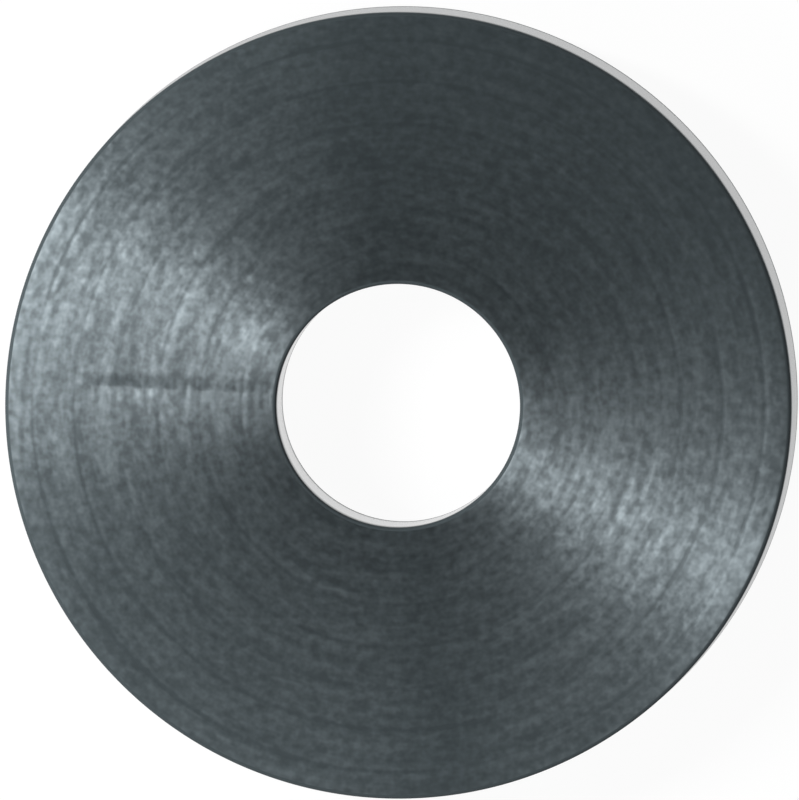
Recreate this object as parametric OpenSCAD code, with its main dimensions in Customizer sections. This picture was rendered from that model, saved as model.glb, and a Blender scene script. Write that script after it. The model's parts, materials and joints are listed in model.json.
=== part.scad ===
// Flat faucet washer: one ring of hard rubber, cut from a tube with a knife.
// The lower face lies on z = 0, and +Z runs up the middle of the screw hole.
// The knife left shallow scored rings on the upper face, and one straight mark where it lifted.

/* [Washer] */
// Outside diameter
outer_d = 15.9; // [12:0.1:26]
// Diameter of the screw hole
bore_d = 4.9; // [3:0.1:6]
// Thickness from face to face
thickness = 3.2; // [1.5:0.1:8]
// Radius of the round on all four edges
edge_r = 0.1; // [0.05:0.01:0.5]

/* [Scored rings] */
// Distance from the rim's round in to the middle of the first ring
ring_inset = 0.44; // [0.15:0.01:1]
// Distance from one ring to the next
ring_pitch = 0.84; // [0.3:0.01:1.5]
// Width of a ring
ring_w = 0.24; // [0.05:0.01:0.28]
// Depth of a ring
ring_depth = 0.007; // [0.002:0.001:0.03]

/* [Knife mark] */
// Length of the mark, from the hole outwards
mark_l = 3.7; // [0.5:0.1:3.7]
// Distance from the round of the hole's edge to the start of the mark
mark_inset = 0.05; // [0.02:0.01:0.5]
// Width of the mark's steep side
mark_steep_w = 0.25; // [0.05:0.01:0.5]
// Width of the mark's long side
mark_long_w = 0.55; // [0.05:0.01:0.8]
// Depth of the mark
mark_depth = 0.022; // [0.002:0.001:0.05]
// How far beside the middle line the mark starts
mark_offset = 0.24; // [0:0.01:1]
// Angle at which the mark runs away from the middle line
mark_turn = 2.6; // [0:0.1:20]

/* [Hidden] */
$fn = 180;

rubber_colour = [0.22, 0.24, 0.25];
outer_r = outer_d / 2;
bore_r = bore_d / 2;
wall_w = outer_r - bore_r;
face_start = bore_r + edge_r;
face_end = outer_r - edge_r;
ring_radii = [for (r = face_end - ring_inset; r - ring_w / 2 > face_start; r = r - ring_pitch) r];

// A V-shaped cut: the widths of its two sides and its depth are measured at the face it scores
module v_cut(left_w, right_w, depth) {
    polygon([[-2 * left_w, depth], [0, -depth], [2 * right_w, depth]]);
}

// The ring's cross-section: two crossed bars, and a circle at each corner
module section() {
    translate([face_start, 0])
        square([face_end - face_start, thickness]);
    translate([bore_r, edge_r])
        square([wall_w, thickness - 2 * edge_r]);
    for (r = [face_start, face_end], z = [edge_r, thickness - edge_r])
        translate([r, z])
            circle(r = edge_r);
}

module knife_mark() {
    translate([-face_start - mark_inset, mark_offset, thickness])
        rotate([90, 0, -90 - mark_turn])
            linear_extrude(height = mark_l)
                v_cut(mark_steep_w, mark_long_w, mark_depth);
}

module washer() {
    color(rubber_colour)
        difference() {
            rotate_extrude()
                difference() {
                    section();
                    for (r = ring_radii)
                        translate([r, thickness])
                            v_cut(ring_w / 2, ring_w / 2, ring_depth);
                }
            knife_mark();
        }
}

washer();
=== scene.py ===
"""A flat faucet washer of hard dark rubber, lying on a pale floor and seen from nearly straight above."""

import json
import math
from collections import namedtuple

import bpy
from mathutils import Matrix, Vector, noise


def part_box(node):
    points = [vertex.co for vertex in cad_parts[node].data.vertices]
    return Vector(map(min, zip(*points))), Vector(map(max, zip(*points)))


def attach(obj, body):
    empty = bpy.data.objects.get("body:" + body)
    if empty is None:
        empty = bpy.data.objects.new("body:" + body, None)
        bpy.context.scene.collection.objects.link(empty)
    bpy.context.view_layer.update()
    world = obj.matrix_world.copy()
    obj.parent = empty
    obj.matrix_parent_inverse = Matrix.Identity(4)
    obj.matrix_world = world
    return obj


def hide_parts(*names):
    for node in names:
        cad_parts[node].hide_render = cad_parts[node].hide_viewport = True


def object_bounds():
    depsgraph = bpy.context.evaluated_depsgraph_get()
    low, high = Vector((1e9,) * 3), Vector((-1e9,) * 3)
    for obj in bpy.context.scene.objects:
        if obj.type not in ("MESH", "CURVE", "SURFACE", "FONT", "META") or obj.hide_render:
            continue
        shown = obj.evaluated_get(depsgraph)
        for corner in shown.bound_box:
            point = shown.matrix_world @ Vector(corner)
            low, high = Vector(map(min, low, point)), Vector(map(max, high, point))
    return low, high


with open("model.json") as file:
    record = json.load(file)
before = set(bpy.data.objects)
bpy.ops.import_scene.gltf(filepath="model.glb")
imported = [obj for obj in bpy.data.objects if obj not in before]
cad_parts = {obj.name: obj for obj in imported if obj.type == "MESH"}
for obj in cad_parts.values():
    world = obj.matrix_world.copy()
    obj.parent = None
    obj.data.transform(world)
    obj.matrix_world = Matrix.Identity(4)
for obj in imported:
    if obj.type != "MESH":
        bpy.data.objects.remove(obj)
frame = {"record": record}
cad_low, cad_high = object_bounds()

MM = 0.001
MICRON = 0.000001

# Sizes of the washer, from the frame
hole = {mount["name"]: mount["dims"] for mount in frame["record"]["mounts"]}["screw_hole"]
washer_low, washer_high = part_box("washer")
THICKNESS = washer_high[2] - washer_low[2]
OUTER_R = (washer_high[0] - washer_low[0]) / 2
BORE_R = hole["r_mm"] * MM
WALL_H = hole["length_mm"] * MM
EDGE_R = (THICKNESS - WALL_H) / 2
MIDDLE_R = (BORE_R + OUTER_R) / 2
FACE_MIDDLE = Vector((0, 0, THICKNESS))

# The knife leaned a little, so the rim is narrower at the upper face than at the back
RIM_LEAN = 0.05 * MM
UPPER_R = OUTER_R - RIM_LEAN
FACE_START = BORE_R + EDGE_R
FACE_END = UPPER_R - EDGE_R
BACK_END = OUTER_R - EDGE_R

# The noise is zero at whole numbers, so it is read this far off them
OFF_WHOLE = 0.5

# Rings that the knife scored on the upper face
RING_INSET = 0.44 * MM
RING_PITCH = 0.84 * MM
RING_W = 0.2 * MM
RING_DEPTH = 5 * MICRON

# How far the rings stray, how fast they stray and fade on their way round, and which noise they fade by
RING_WANDER = 0.03 * MM
RING_STRAY_TURNS = 2
RING_FADE_TURNS = 3
RING_FADE_LAYER = 20

# Mark where the knife lifted: its start at the hole, its slant, its end, and the two sides of its cut
MARK_L = 3.7 * MM
MARK_INSET = 0.05 * MM
MARK_OFFSET = 0.24 * MM
MARK_TURN = math.radians(2.6)
MARK_FADE = 0.5 * MM
MARK_DEPTH = 31 * MICRON
MARK_STEEP_W = 0.33 * MM
MARK_STEEP_POWER = 1.5
MARK_LONG_W = 0.75 * MM

# The mark grows deeper on its way out, and it wanders and is ragged in small patches
MARK_LEAST = 0.35
MARK_GROWTH = 0.9
MARK_PATCH = 0.1 * MM
MARK_WANDER = 0.03 * MM
MARK_RAGGED = 0.6
MARK_RAGGED_LAYER = 10

# Fine uneven ridges of both faces: width and height of each kind, and where they die out at the edges
RIDGES = ((0.42 * MM, 8 * MICRON), (0.22 * MM, 7 * MICRON), (0.13 * MM, 5 * MICRON))
BACK_RIDGES = RIDGES[:2]
RIDGE_MEAN = sum(height for width, height in RIDGES) / 2
RIDGE_TURNS = 1.6
CALM_W = 0.2 * MM

# Both faces fall away a little towards the rim and the hole
CROWN_W = 0.45 * MM
CROWN_DEPTH = 18 * MICRON

# Mesh density: columns round the ring, closer where the knife mark runs, and rows round the section
COLUMN_STEP = math.radians(1.15)
MARK_COLUMN_STEP = math.radians(0.25)
MARK_SECTOR = (math.radians(164), math.radians(190))
FACE_ROWS = 150
BACK_ROWS = 50
WALL_ROWS = 4
EDGE_ROWS = 6

# How much of the bake's map each stretch of the section gets, against its length
FACE_SHARE = 2.5
PLAIN_SHARE = 1.0

# A row of the mesh: radius, height, outward direction, kind of surface and share of the map
Row = namedtuple("Row", "r z normal kind share")


def clamp(value, low, high):
    return max(low, min(high, value))


def column_angles():
    """The angles of the mesh's columns, once round."""
    start, end = MARK_SECTOR
    fine_sweep = end - start
    coarse_sweep = 2 * math.pi - fine_sweep
    fine_count = round(fine_sweep / MARK_COLUMN_STEP)
    coarse_count = round(coarse_sweep / COLUMN_STEP)
    fine = [start + fine_sweep * i / fine_count for i in range(fine_count)]
    coarse = [end + coarse_sweep * i / coarse_count for i in range(coarse_count)]
    return fine + coarse


def section_rows():
    """The rows of the mesh, once round the section."""
    rows = []

    def straight(start, end, count, normal, kind, share):
        for i in range(count):
            t = i / count
            r = start[0] + (end[0] - start[0]) * t
            z = start[1] + (end[1] - start[1]) * t
            rows.append(Row(r, z, normal, kind, share))

    def corner(centre, start_turn):
        for i in range(EDGE_ROWS):
            turn = start_turn + math.pi / 2 * i / EDGE_ROWS
            normal = (math.cos(turn), math.sin(turn))
            r = centre[0] + EDGE_R * normal[0]
            z = centre[1] + EDGE_R * normal[1]
            rows.append(Row(r, z, normal, "edge", PLAIN_SHARE))

    low, high = EDGE_R, THICKNESS - EDGE_R
    straight((FACE_START, 0), (BACK_END, 0), BACK_ROWS, (0, -1), "back", PLAIN_SHARE)
    corner((BACK_END, low), -math.pi / 2)
    straight((OUTER_R, low), (UPPER_R, high), WALL_ROWS, (1, 0), "wall", PLAIN_SHARE)
    corner((FACE_END, high), 0)
    straight((FACE_END, THICKNESS), (FACE_START, THICKNESS), FACE_ROWS, (0, 1), "face", FACE_SHARE)
    corner((FACE_START, high), math.pi / 2)
    straight((BORE_R, high), (BORE_R, low), WALL_ROWS, (-1, 0), "wall", PLAIN_SHARE)
    corner((FACE_START, low), math.pi)
    return rows


def from_edge(r, end):
    """Distance from a point of a face, which ends at this radius, to the nearer edge round."""
    return min(end - r, r - FACE_START)


def ring_depth(r, angle):
    """Depth of the scored rings: V-shaped cuts, in a row from the rim, that stray a little and vary."""
    spot = Vector((math.cos(angle), math.sin(angle), 0))
    behind = FACE_END - RING_INSET - r
    nearest = max(0, round(behind / RING_PITCH))
    stray_layer = Vector((0, 0, nearest + OFF_WHOLE))
    fade_layer = Vector((0, 0, nearest + RING_FADE_LAYER + OFF_WHOLE))
    stray = RING_WANDER * noise.noise(spot * RING_STRAY_TURNS + stray_layer)
    strength = 1 + noise.noise(spot * RING_FADE_TURNS + fade_layer)
    off = abs(behind - nearest * RING_PITCH + stray)
    return RING_DEPTH * strength * max(0, 1 - off / (RING_W / 2))


def ridge_depth(r, angle, ridges, end):
    """Depth of the fine ridges, which change slowly on their way round."""
    spot = Vector((math.cos(angle), math.sin(angle), 0)) * RIDGE_TURNS
    calm = clamp(from_edge(r, end) / CALM_W, 0, 1)
    depth = RIDGE_MEAN
    for width, height in ridges:
        depth += calm * height / 2 * noise.noise(spot + Vector((0, 0, r / width)))
    return depth


def crown_depth(r, end):
    """How far a face falls away beside the edge rounds."""
    nearness = clamp(1 - from_edge(r, end) / CROWN_W, 0, 1)
    return CROWN_DEPTH * nearness ** 2


def mark_depth(x, y):
    """Depth of the knife mark: short on its upper side, and running out slowly on its lower side."""
    away_x = x + FACE_START + MARK_INSET
    away_y = y - MARK_OFFSET
    along = -away_x * math.cos(MARK_TURN) + away_y * math.sin(MARK_TURN)
    side = away_x * math.sin(MARK_TURN) + away_y * math.cos(MARK_TURN)
    start_fade = clamp(1 + along / MARK_INSET, 0, 1)
    end_fade = clamp((MARK_L - along) / MARK_FADE, 0, 1)
    patch = Vector((along / MARK_PATCH, OFF_WHOLE, OFF_WHOLE))
    side += MARK_WANDER * noise.noise(patch)
    ragged = MARK_RAGGED * noise.noise(patch + Vector((0, MARK_RAGGED_LAYER, 0)))
    strength = MARK_LEAST + MARK_GROWTH * (along / MARK_L) ** 2 + ragged
    if side > 0:
        shape = clamp(1 - (side / MARK_STEEP_W) ** MARK_STEEP_POWER, 0, 1) ** 2
    else:
        shape = clamp(1 + side / MARK_LONG_W, 0, 1) ** 2
    return MARK_DEPTH * start_fade * end_fade * max(0, strength) * shape


def relief(row, angle):
    """How far a point of the plain section lies in from its surface."""
    if row.kind == "face":
        scoring = ridge_depth(row.r, angle, RIDGES, FACE_END) + ring_depth(row.r, angle)
        scoring += mark_depth(row.r * math.cos(angle), row.r * math.sin(angle))
        return scoring + crown_depth(row.r, FACE_END)
    if row.kind == "back":
        return ridge_depth(row.r, angle, BACK_RIDGES, BACK_END) + crown_depth(row.r, BACK_END)
    if row.kind == "edge":
        return (RIDGE_MEAN + CROWN_DEPTH) * abs(row.normal[1])
    return 0


def washer_mesh():
    """The ring as a grid of quads, with a map that runs round the ring and round the section."""
    angles = column_angles()
    rows = section_rows()
    vertices = []
    for row in rows:
        for angle in angles:
            depth = relief(row, angle)
            radius = row.r - row.normal[0] * depth
            z = row.z - row.normal[1] * depth
            vertices.append((radius * math.cos(angle), radius * math.sin(angle), z))

    heights = [0]
    for row, after in zip(rows, rows[1:] + rows[:1]):
        heights.append(heights[-1] + row.share * math.hypot(after.r - row.r, after.z - row.z))
    heights = [height / heights[-1] for height in heights]
    widths = [(angle - angles[0]) / (2 * math.pi) for angle in angles] + [1]

    faces, places = [], []
    columns = len(angles)
    for i in range(len(rows)):
        here = i * columns
        above = (i + 1) % len(rows) * columns
        low, high = heights[i], heights[i + 1]
        for j in range(columns):
            beside = (j + 1) % columns
            faces.append((here + j, here + beside, above + beside, above + j))
            left, right = widths[j], widths[j + 1]
            places += [left, low, right, low, right, high, left, high]

    mesh = bpy.data.meshes.new("washer_ring")
    mesh.from_pydata(vertices, [], faces)
    mesh.uv_layers.new(name="OFBake").data.foreach_set("uv", places)
    mesh.polygons.foreach_set("use_smooth", [True] * len(faces))
    mesh.update()
    return mesh


class Nodes:
    """Short names for adding and joining the nodes of one material or world."""

    def __init__(self, tree):
        self.tree = tree
        tree.nodes.clear()

    def add(self, kind, **settings):
        node = self.tree.nodes.new(kind)
        for name, value in settings.items():
            setattr(node, name, value)
        return node

    def join(self, output, socket):
        self.tree.links.new(output, socket)

    def put(self, value, socket):
        """Joins an output to a socket, or writes a number or a colour into it."""
        if isinstance(value, bpy.types.NodeSocket):
            self.join(value, socket)
        else:
            socket.default_value = value

    def maths(self, operation, first, second=0):
        node = self.add("ShaderNodeMath", operation=operation)
        self.put(first, node.inputs[0])
        self.put(second, node.inputs[1])
        return node.outputs[0]

    def noise(self, vector, scale):
        """Noise of two octaves, with this many waves to a metre."""
        node = self.add("ShaderNodeTexNoise")
        node.inputs["Scale"].default_value = scale
        node.inputs["Detail"].default_value = 1
        self.join(vector, node.inputs["Vector"])
        return node.outputs["Fac"]

    def ramp(self, value, source, target):
        """Goes from one end of the target to the other while the value crosses the source."""
        node = self.add("ShaderNodeMapRange")
        self.join(value, node.inputs["Value"])
        node.inputs["From Min"].default_value, node.inputs["From Max"].default_value = source
        node.inputs["To Min"].default_value, node.inputs["To Max"].default_value = target
        return node.outputs["Result"]

    def mix(self, factor, first, second):
        """A value that goes from the first to the second as the factor goes from 0 to 1."""
        difference = self.maths("SUBTRACT", second, first)
        return self.maths("ADD", self.maths("MULTIPLY", factor, difference), first)

    def mix_colours(self, factor, first, second):
        node = self.add("ShaderNodeMix", data_type="RGBA")
        self.join(factor, node.inputs["Factor"])
        self.put(first, node.inputs["A"])
        self.put(second, node.inputs["B"])
        return node.outputs["Result"]

    def bump(self, height, distance, strength, normal=None):
        node = self.add("ShaderNodeBump")
        node.inputs["Distance"].default_value = distance
        self.join(height, node.inputs["Height"])
        self.join(strength, node.inputs["Strength"])
        if normal is not None:
            self.join(normal, node.inputs["Normal"])
        return node.outputs["Normal"]

    def finish(self, kind, shader):
        """Joins the last shader to the output node, which is of this kind."""
        self.join(shader, self.add(kind).inputs["Surface"])


def axis_distance(nodes, place):
    """The distance from the washer's axis."""
    flat = nodes.add("ShaderNodeVectorMath", operation="MULTIPLY")
    flat.inputs[1].default_value = (1, 1, 0)
    nodes.join(place, flat.inputs[0])
    length = nodes.add("ShaderNodeVectorMath", operation="LENGTH")
    nodes.join(flat.outputs["Vector"], length.inputs[0])
    return length.outputs["Value"]


def round_coordinates(nodes, place, radius, stretch):
    """Coordinates in which a texture is stretched this many times on its way round the axis."""
    parts = nodes.add("ShaderNodeSeparateXYZ")
    nodes.join(place, parts.inputs[0])
    turned = nodes.add("ShaderNodeCombineXYZ")
    nodes.join(nodes.maths("DIVIDE", parts.outputs["X"], stretch), turned.inputs["X"])
    nodes.join(nodes.maths("DIVIDE", parts.outputs["Y"], stretch), turned.inputs["Y"])
    nodes.join(nodes.maths("ADD", radius, parts.outputs["Z"]), turned.inputs["Z"])
    return turned.outputs["Vector"]


# Colours of the rubber's darkest and palest spots, and how pale the grain makes it; it is also painted
# paler towards the rim, as painted light for the soft light on the outer part of the face, and the edge
# rounds are painted in the palest colour, as painted light that lifts their dark line
DARK_RUBBER = (0.0088, 0.0113, 0.0123, 1)
PALE_RUBBER = (0.0265, 0.034, 0.0368, 1)
WHOLE_GRAIN = (0.2, 0.8)
GRAIN_PALENESS = (0.3, 0.7)
PAINTED_PALER_OUTWARDS = (-0.32, 0.32)

# Gloss of the faces: its tint, its level between and in the specks, and its stretch across the scoring
GLOSS_TINT = (0.815, 0.94, 1, 1)
DULL_GLOSS = 0.185
SHINY_GLOSS = 0.5
SPECK_POWER = 1.3
GLOSS_STRETCH = 0.93
QUARTER_TURN = 0.25
RUBBER_IOR = 2

# Texture of grain, short streaks and thin lines: waves to a metre, stretch, height, and share in the whole
GRAIN_SCALE = 6700
GRAIN_HEIGHT = 1.5 * MICRON
GRAIN_SHARE = 1.3
STREAK_SCALE = 6400
STREAK_STRETCH = 1.9
STREAK_HEIGHT = 4 * MICRON
STREAK_SHARE = 1.3
LINE_SCALE = 4500
LINE_STRETCH = 10
LINE_HEIGHT = 5 * MICRON
LINE_SHARE = 1.2
WHOLE_TEXTURE = (1.31, 2.55)

# Dull lines where the rings were scored, which are worn away in places and are stronger near the rim
SCORE_W = 0.13 * MM
SCORE_SHARE = 0.6
STRONGER_OUTWARDS = (0.6, 1.7)
WEAR_SCALE = 500
WHOLE_WEAR = (0.1, 0.7)

# Roughness of faces, edges and walls, the walls' from hole to rim, and gloss of edges and walls
FACE_ROUGHNESS = (0.45, 0.39)
EDGE_ROUGHNESS = 0.9
WALL_ROUGHNESS = (0.07, 0.13)
EDGE_GLOSS = 0.18
WALL_GLOSS = 0.34
# How strongly the texture shows on the walls
WALL_TEXTURE = 0.35

# How upright a surface's direction is where the edges go over into the faces and into the walls
FACE_TILT = (0.93, 0.985)
WALL_TILT = (0.1, 0.35)


def rubber_material():
    """Hard dark rubber: grainy and scored round and round on its faces, smooth on its walls."""
    material = bpy.data.materials.new("rubber")
    material.use_nodes = True
    nodes = Nodes(material.node_tree)
    coordinates = nodes.add("ShaderNodeTexCoord").outputs
    place = coordinates["Object"]
    radius = axis_distance(nodes, place)
    grain = nodes.noise(place, GRAIN_SCALE)
    streaks = nodes.noise(round_coordinates(nodes, place, radius, STREAK_STRETCH), STREAK_SCALE)
    lines = nodes.noise(round_coordinates(nodes, place, radius, LINE_STRETCH), LINE_SCALE)

    from_first = nodes.maths("SUBTRACT", FACE_END - RING_INSET, radius)
    from_ring = nodes.maths("PINGPONG", from_first, RING_PITCH / 2)
    outer_strength = nodes.ramp(radius, (MIDDLE_R, OUTER_R), STRONGER_OUTWARDS)
    wear = nodes.ramp(nodes.noise(place, WEAR_SCALE), WHOLE_WEAR, (0, SCORE_SHARE))
    wear = nodes.maths("MULTIPLY", wear, outer_strength)
    scores = nodes.maths("MULTIPLY", nodes.ramp(from_ring, (0, SCORE_W / 2), (1, 0)), wear)
    texture = nodes.maths("MULTIPLY", grain, GRAIN_SHARE)
    texture = nodes.maths("ADD", texture, nodes.maths("MULTIPLY", streaks, STREAK_SHARE))
    texture = nodes.maths("ADD", texture, nodes.maths("MULTIPLY", lines, LINE_SHARE))
    texture = nodes.maths("SUBTRACT", texture, scores)

    normal_parts = nodes.add("ShaderNodeSeparateXYZ")
    nodes.join(coordinates["Normal"], normal_parts.inputs[0])
    upright = nodes.maths("ABSOLUTE", normal_parts.outputs["Z"])
    on_face = nodes.ramp(upright, FACE_TILT, (0, 1))
    off_wall = nodes.ramp(upright, WALL_TILT, (0, 1))
    off_face = nodes.maths("SUBTRACT", 1, on_face)
    on_edge = nodes.maths("MULTIPLY", off_wall, off_face)
    texture_share = nodes.ramp(upright, WALL_TILT, (WALL_TEXTURE, 1))

    # Painted light: the colour grows paler from the hole to the rim, in place of soft light on the outer
    # part of the face
    painted_light_outwards = nodes.ramp(radius, (BORE_R, OUTER_R), PAINTED_PALER_OUTWARDS)
    paleness = nodes.maths("ADD", nodes.ramp(grain, WHOLE_GRAIN, GRAIN_PALENESS), painted_light_outwards)
    colour = nodes.mix_colours(paleness, DARK_RUBBER, PALE_RUBBER)
    # Painted light: the edge rounds take the palest colour all round, which lifts their dark line where the
    # room gives little light
    colour = nodes.mix_colours(on_edge, colour, PALE_RUBBER)

    wall_roughness = nodes.ramp(radius, (BORE_R, OUTER_R), WALL_ROUGHNESS)
    roughness = nodes.ramp(texture, WHOLE_TEXTURE, FACE_ROUGHNESS)
    roughness = nodes.mix(on_face, EDGE_ROUGHNESS, roughness)
    roughness = nodes.mix(off_wall, wall_roughness, roughness)

    specks = nodes.maths("POWER", nodes.ramp(texture, WHOLE_TEXTURE, (0, 1)), SPECK_POWER)
    gloss = nodes.ramp(specks, (0, 1), (DULL_GLOSS, SHINY_GLOSS))
    gloss = nodes.mix(texture_share, WALL_GLOSS, gloss)
    gloss = nodes.mix(on_edge, gloss, EDGE_GLOSS)

    normal = nodes.bump(grain, GRAIN_HEIGHT, texture_share)
    normal = nodes.bump(streaks, STREAK_HEIGHT, texture_share, normal)
    normal = nodes.bump(lines, LINE_HEIGHT, texture_share, normal)
    tangent = nodes.add("ShaderNodeTangent", direction_type="RADIAL", axis="Z")
    shader = nodes.add("ShaderNodeBsdfPrincipled")
    nodes.join(colour, shader.inputs["Base Color"])
    nodes.join(gloss, shader.inputs["Specular IOR Level"])
    nodes.join(roughness, shader.inputs["Roughness"])
    nodes.join(normal, shader.inputs["Normal"])
    nodes.join(tangent.outputs["Tangent"], shader.inputs["Tangent"])
    shader.inputs["Specular Tint"].default_value = GLOSS_TINT
    shader.inputs["Anisotropic"].default_value = GLOSS_STRETCH
    shader.inputs["Anisotropic Rotation"].default_value = QUARTER_TURN
    shader.inputs["IOR"].default_value = RUBBER_IOR
    nodes.finish("ShaderNodeOutputMaterial", shader.outputs["BSDF"])
    return material


def seen_directly(nodes):
    """1 for the rays of the camera, of reflections and of glass, and 0 for the light that bounces about."""
    path = nodes.add("ShaderNodeLightPath").outputs
    seen = nodes.maths("ADD", path["Is Camera Ray"], path["Is Glossy Ray"])
    seen = nodes.maths("ADD", seen, path["Is Transmission Ray"])
    return nodes.maths("MINIMUM", seen, 1)


def mix_shaders(nodes, share, first, second):
    node = nodes.add("ShaderNodeMixShader")
    nodes.join(share, node.inputs["Fac"])
    nodes.join(first, node.inputs[1])
    nodes.join(second, node.inputs[2])
    return node.outputs["Shader"]


# The floor's paint, and how much of it is seen as plain white
FLOOR_COLOUR = (0.86, 0.87, 0.87, 1)
FLOOR_WHITE = 0.95
FLOOR_SIDE = 0.8
FLOOR_GAP = 0.02 * MM


def floor_material():
    """Pale floor that is seen as nearly white, with the washer's soft shadow on it."""
    material = bpy.data.materials.new("floor")
    material.use_nodes = True
    nodes = Nodes(material.node_tree)
    share = nodes.maths("MULTIPLY", seen_directly(nodes), FLOOR_WHITE)
    paint = nodes.add("ShaderNodeBsdfDiffuse")
    paint.inputs["Color"].default_value = FLOOR_COLOUR
    white = nodes.add("ShaderNodeEmission")
    mixed = mix_shaders(nodes, share, paint.outputs["BSDF"], white.outputs["Emission"])
    nodes.finish("ShaderNodeOutputMaterial", mixed)
    return material


def add_floor():
    half = FLOOR_SIDE / 2
    corners = [(-half, -half, 0), (half, -half, 0), (half, half, 0), (-half, half, 0)]
    mesh = bpy.data.meshes.new("floor")
    mesh.from_pydata(corners, [], [(0, 1, 2, 3)])
    floor = bpy.data.objects.new("floor", mesh)
    floor.location.z = cad_low[2] - FLOOR_GAP
    mesh.materials.append(floor_material())
    bpy.context.scene.collection.objects.link(floor)


# The room's light, and how high above the horizon its white backdrop ends
WORLD_LIGHT = 0.12
WORLD_COLOUR = (0.94, 0.98, 1, 1)
BACKDROP_COLOUR = (1, 1, 1, 1)
BACKDROP_TOP = (0.06, 0.1)


def set_world():
    """An even grey room, with a low white backdrop all round that gives no light."""
    world = bpy.data.worlds.new("room")
    world.use_nodes = True
    bpy.context.scene.world = world
    nodes = Nodes(world.node_tree)
    direction = nodes.add("ShaderNodeSeparateXYZ")
    nodes.join(nodes.add("ShaderNodeTexCoord").outputs["Generated"], direction.inputs[0])
    lowness = nodes.ramp(direction.outputs["Z"], BACKDROP_TOP, (1, 0))
    share = nodes.maths("MULTIPLY", seen_directly(nodes), lowness)
    room = nodes.add("ShaderNodeBackground")
    room.inputs["Strength"].default_value = WORLD_LIGHT
    room.inputs["Color"].default_value = WORLD_COLOUR
    white = nodes.add("ShaderNodeBackground")
    white.inputs["Color"].default_value = BACKDROP_COLOUR
    mixed = mix_shaders(nodes, share, room.outputs["Background"], white.outputs["Background"])
    nodes.finish("ShaderNodeOutputWorld", mixed)


def looking(place, target, up):
    """The placing of a camera or lamp at a place that looks at a target."""
    forward = (target - place).normalized()
    right = forward.cross(up).normalized()
    above = right.cross(forward)
    turn = Matrix((right, above, -forward)).transposed()
    return Matrix.Translation(place) @ turn.to_4x4()


def from_middle(azimuth, elevation, distance):
    """A place at this direction and distance from the middle of the upper face."""
    a, e = math.radians(azimuth), math.radians(elevation)
    way = Vector((math.cos(e) * math.cos(a), math.cos(e) * math.sin(a), math.sin(e)))
    return FACE_MIDDLE + way * distance


# Lamps: azimuth and elevation in degrees, distance, width and height in metres, and watts
LAMPS = {
    "key": (159.4, 54, 0.5, (0.04, 0.16), 2.27),
    "left": (177, 47, 0.0216, (0.007, 0.004), 0.00268),
    "upper left": (130, 46, 0.0175, (0.01, 0.004), 0.0003),
    "lower left": (194, 44, 0.0175, (0.006, 0.004), 0.00022),
    "low": (232, 45, 0.0175, (0.02, 0.006), 0.00095),
    "lower right": (306, 44, 0.017, (0.012, 0.004), 0.00038),
}


def add_lamp(name, azimuth, elevation, distance, size, watts):
    """A soft lamp that shines on the middle of the upper face, and that the camera doesn't see."""
    light = bpy.data.lights.new(name, "AREA")
    light.shape = "RECTANGLE"
    light.size, light.size_y = size
    light.energy = watts
    lamp = bpy.data.objects.new(name, light)
    place = from_middle(azimuth, elevation, distance)
    lamp.matrix_world = looking(place, FACE_MIDDLE, Vector((0, 0, 1)))
    lamp.visible_camera = False
    bpy.context.scene.collection.objects.link(lamp)


# The photograph's frame, and the washer's upper face in it, in pixels
PHOTO_SIZE = (799, 800)
FACE_MIDDLE_PX = (397.8, 406.1)
FACE_RADIUS_PX = 393.4

# The camera's direction in degrees, its lens and sensor in millimetres,
# and how many times nearer and farther than the washer it sees
VIEW_AZIMUTH = 45
VIEW_ELEVATION = 86.8
LENS = 1400
SENSOR = 36
SIGHT_RATIO = 10


def add_camera():
    """A long lens from nearly straight above, which sets the upper face where the photograph has it."""
    pixel = UPPER_R / FACE_RADIUS_PX
    right = (PHOTO_SIZE[0] / 2 - FACE_MIDDLE_PX[0]) * pixel
    up = (FACE_MIDDLE_PX[1] - PHOTO_SIZE[1] / 2) * pixel
    offset = Vector((right, up, 0))
    distance = LENS / SENSOR * max(PHOTO_SIZE) * pixel
    camera = bpy.data.cameras.new("camera")
    camera.lens = LENS
    camera.sensor_width = SENSOR
    camera.clip_start = distance / SIGHT_RATIO
    camera.clip_end = distance * SIGHT_RATIO
    holder = bpy.data.objects.new("camera", camera)
    place = from_middle(VIEW_AZIMUTH, VIEW_ELEVATION, distance)
    holder.matrix_world = looking(place + offset, FACE_MIDDLE + offset, Vector((0, 1, 0)))
    bpy.context.scene.collection.objects.link(holder)
    bpy.context.scene.camera = holder


washer = bpy.data.objects.new("washer_ring", washer_mesh())
washer.data.materials.append(rubber_material())
bpy.context.scene.collection.objects.link(washer)
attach(washer, "root")
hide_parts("washer")

add_floor()
set_world()
for lamp_name, lamp_settings in LAMPS.items():
    add_lamp(lamp_name, *lamp_settings)
add_camera()
bpy.context.scene.view_settings.view_transform = "Standard"
